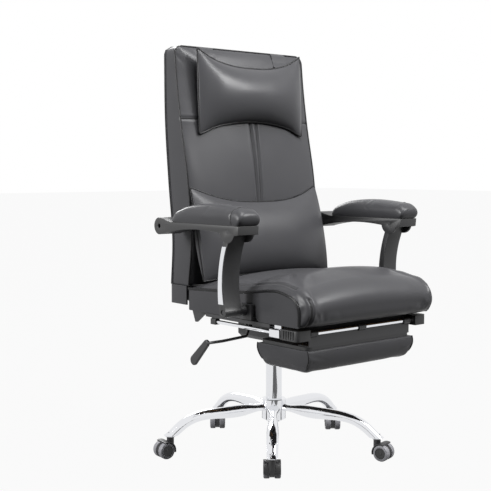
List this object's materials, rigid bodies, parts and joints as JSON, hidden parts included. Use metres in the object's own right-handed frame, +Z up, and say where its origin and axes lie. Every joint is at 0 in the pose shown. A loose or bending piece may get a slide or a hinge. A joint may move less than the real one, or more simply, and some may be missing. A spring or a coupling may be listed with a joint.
{
  "type": "reclining office chair",
  "caption": "High-back upholstered swivel chair with reclining back, linked padded arms, pull-out footrest and chromed star base on casters.",
  "frame": {"origin": "on the floor, under the column's axis", "axes": "+Z up, the sitter faces -Y, the sitter's left is +X"},
  "size_m": [0.7, 0.7516, 1.1924],
  "materials": {
    "leather": "soft semi-gloss",
    "chrome": "polished",
    "steel": "satin",
    "black_steel": "satin",
    "black_plastic": "fine grain",
    "wheel": "smooth, grey tread",
    "board": "raw plywood"
  },
  "bodies": {
    "base": {"base_hub": "chrome", "base_legs": "chrome", "caster_sleeves": "steel", "column_tube": "chrome", "column_bush": "black_plastic", "thrust_bearing": "steel"},
    "piston": {"piston_rod": "steel"},
    "seat": {"pressure_cylinder": "steel", "mechanism_housing": "black_steel", "mechanism_plate": "black_steel", "frame_bolts": "steel", "seat_frame": "black_steel", "seat_board": "board", "seat_cushion": "leather", "seat_brackets": "black_steel", "arm_brackets": "black_steel", "post_bolts": "steel", "rest_rails": "black_steel", "rest_guides": "chrome"},
    "valve": {"valve_pin": "steel"},
    "lever": {"lever_rod": "black_steel", "lever_paddle": "black_plastic"},
    "back": {"back_board": "board", "back_cover": "leather", "back_plates": "black_steel", "back_cushion": "leather", "lumbar_cushion": "leather", "head_pillow": "leather", "head_straps": "leather"},
    "post_left": {"arm_post_left": "black_plastic", "post_trim_left": "chrome"},
    "post_right": {"arm_post_right": "black_plastic", "post_trim_right": "chrome"},
    "arm_left": {"arm_tray_left": "black_plastic", "arm_pin_left": "steel", "arm_pad_left": "leather"},
    "arm_right": {"arm_tray_right": "black_plastic", "arm_pin_right": "steel", "arm_pad_right": "leather"},
    "footrest_frame": {"rest_rods": "chrome", "rest_blocks": "black_plastic"},
    "footrest_pad": {"rest_hinge_sheet": "black_steel", "rest_board": "black_plastic", "rest_cushion": "leather"},
    "caster_1": {"caster_hood_1": "black_plastic", "caster_pins_1": "steel"},
    "wheels_1": {"caster_wheels_1": "wheel"},
    "caster_2": {"caster_hood_2": "black_plastic", "caster_pins_2": "steel"},
    "wheels_2": {"caster_wheels_2": "wheel"},
    "caster_3": {"caster_hood_3": "black_plastic", "caster_pins_3": "steel"},
    "wheels_3": {"caster_wheels_3": "wheel"},
    "caster_4": {"caster_hood_4": "black_plastic", "caster_pins_4": "steel"},
    "wheels_4": {"caster_wheels_4": "wheel"},
    "caster_5": {"caster_hood_5": "black_plastic", "caster_pins_5": "steel"},
    "wheels_5": {"caster_wheels_5": "wheel"}
  },
  "joints": [
    {"name": "caster_swivel_1", "type": "hinge", "parent": "base", "child": "caster_1", "pos_m": [-0.21402, -0.2352, 0.06], "axis": [0, 0, 1], "continuous": true},
    {"name": "wheel_roll_1", "type": "hinge", "parent": "caster_1", "child": "wheels_1", "pos_m": [-0.19988, -0.21835, 0.024], "axis": [0.766, -0.6428, 0], "continuous": true},
    {"name": "caster_swivel_2", "type": "hinge", "parent": "base", "child": "caster_2", "pos_m": [0.15756, -0.27622, 0.06], "axis": [0, 0, 1], "continuous": true},
    {"name": "wheel_roll_2", "type": "hinge", "parent": "caster_2", "child": "wheels_2", "pos_m": [0.16325, -0.29747, 0.024], "axis": [-0.9659, -0.2588, 0], "continuous": true},
    {"name": "caster_swivel_3", "type": "hinge", "parent": "base", "child": "caster_3", "pos_m": [0.31139, 0.06449, 0.06], "axis": [0, 0, 1], "continuous": true},
    {"name": "wheel_roll_3", "type": "hinge", "parent": "caster_3", "child": "wheels_3", "pos_m": [0.29725, 0.04763, 0.024], "axis": [-0.766, 0.6428, 0], "continuous": true},
    {"name": "caster_swivel_4", "type": "hinge", "parent": "base", "child": "caster_4", "pos_m": [0.0349, 0.31608, 0.06], "axis": [0, 0, 1], "continuous": true},
    {"name": "wheel_roll_4", "type": "hinge", "parent": "caster_4", "child": "wheels_4", "pos_m": [0.02075, 0.29923, 0.024], "axis": [-0.766, 0.6428, 0], "continuous": true},
    {"name": "caster_swivel_5", "type": "hinge", "parent": "base", "child": "caster_5", "pos_m": [-0.28983, 0.13086, 0.06], "axis": [0, 0, 1], "continuous": true},
    {"name": "wheel_roll_5", "type": "hinge", "parent": "caster_5", "child": "wheels_5", "pos_m": [-0.31174, 0.13278, 0.024], "axis": [0.0872, 0.9962, 0], "continuous": true},
    {"name": "seat_turn", "type": "hinge", "parent": "base", "child": "piston", "pos_m": [0, 0, 0.1], "axis": [0, 0, 1], "continuous": true},
    {"name": "seat_height", "type": "slide", "parent": "piston", "child": "seat", "axis": [0, 0, 1], "range_m": [-0.07, 0.01]},
    {"name": "lever_lift", "type": "hinge", "parent": "seat", "child": "lever", "pos_m": [-0.036, 0, 0.4153], "axis": [0, 1, 0], "range_deg": [0, 6]},
    {"name": "valve_press", "type": "slide", "parent": "seat", "child": "valve", "axis": [0, 0, -1], "range_m": [0, 0.004]},
    {"name": "back_recline", "type": "hinge", "parent": "seat", "child": "back", "pos_m": [0, 0.127, 0.467], "axis": [-1, 0, 0], "range_deg": [0, 50]},
    {"name": "post_swing_left", "type": "hinge", "parent": "seat", "child": "post_left", "pos_m": [0, -0.178, 0.464], "axis": [-1, 0, 0], "range_deg": [0, 50]},
    {"name": "arm_level_left", "type": "hinge", "parent": "post_left", "child": "arm_left", "pos_m": [0, -0.205, 0.68], "axis": [-1, 0, 0], "range_deg": [-50, 0]},
    {"name": "post_swing_right", "type": "hinge", "parent": "seat", "child": "post_right", "pos_m": [0, -0.178, 0.464], "axis": [-1, 0, 0], "range_deg": [0, 50]},
    {"name": "arm_level_right", "type": "hinge", "parent": "post_right", "child": "arm_right", "pos_m": [0, -0.205, 0.68], "axis": [-1, 0, 0], "range_deg": [-50, 0]},
    {"name": "footrest_slide", "type": "slide", "parent": "seat", "child": "footrest_frame", "axis": [0, -1, 0], "range_m": [0, 0.234]},
    {"name": "footrest_turn", "type": "hinge", "parent": "footrest_frame", "child": "footrest_pad", "pos_m": [0, -0.357, 0.414], "axis": [-1, 0, 0], "range_deg": [0, 180]}
  ],
  "couplings": [
    {"joint": "valve_press", "follows": "lever_lift", "m_per_rad": 0.036},
    {"joint": "footrest_turn", "follows": "footrest_slide", "rad_per_m": 13.426},
    {"joint": "post_swing_left", "follows": "back_recline", "ratio": 1},
    {"joint": "arm_level_left", "follows": "back_recline", "ratio": -1},
    {"joint": "post_swing_right", "follows": "back_recline", "ratio": 1},
    {"joint": "arm_level_right", "follows": "back_recline", "ratio": -1}
  ]
}
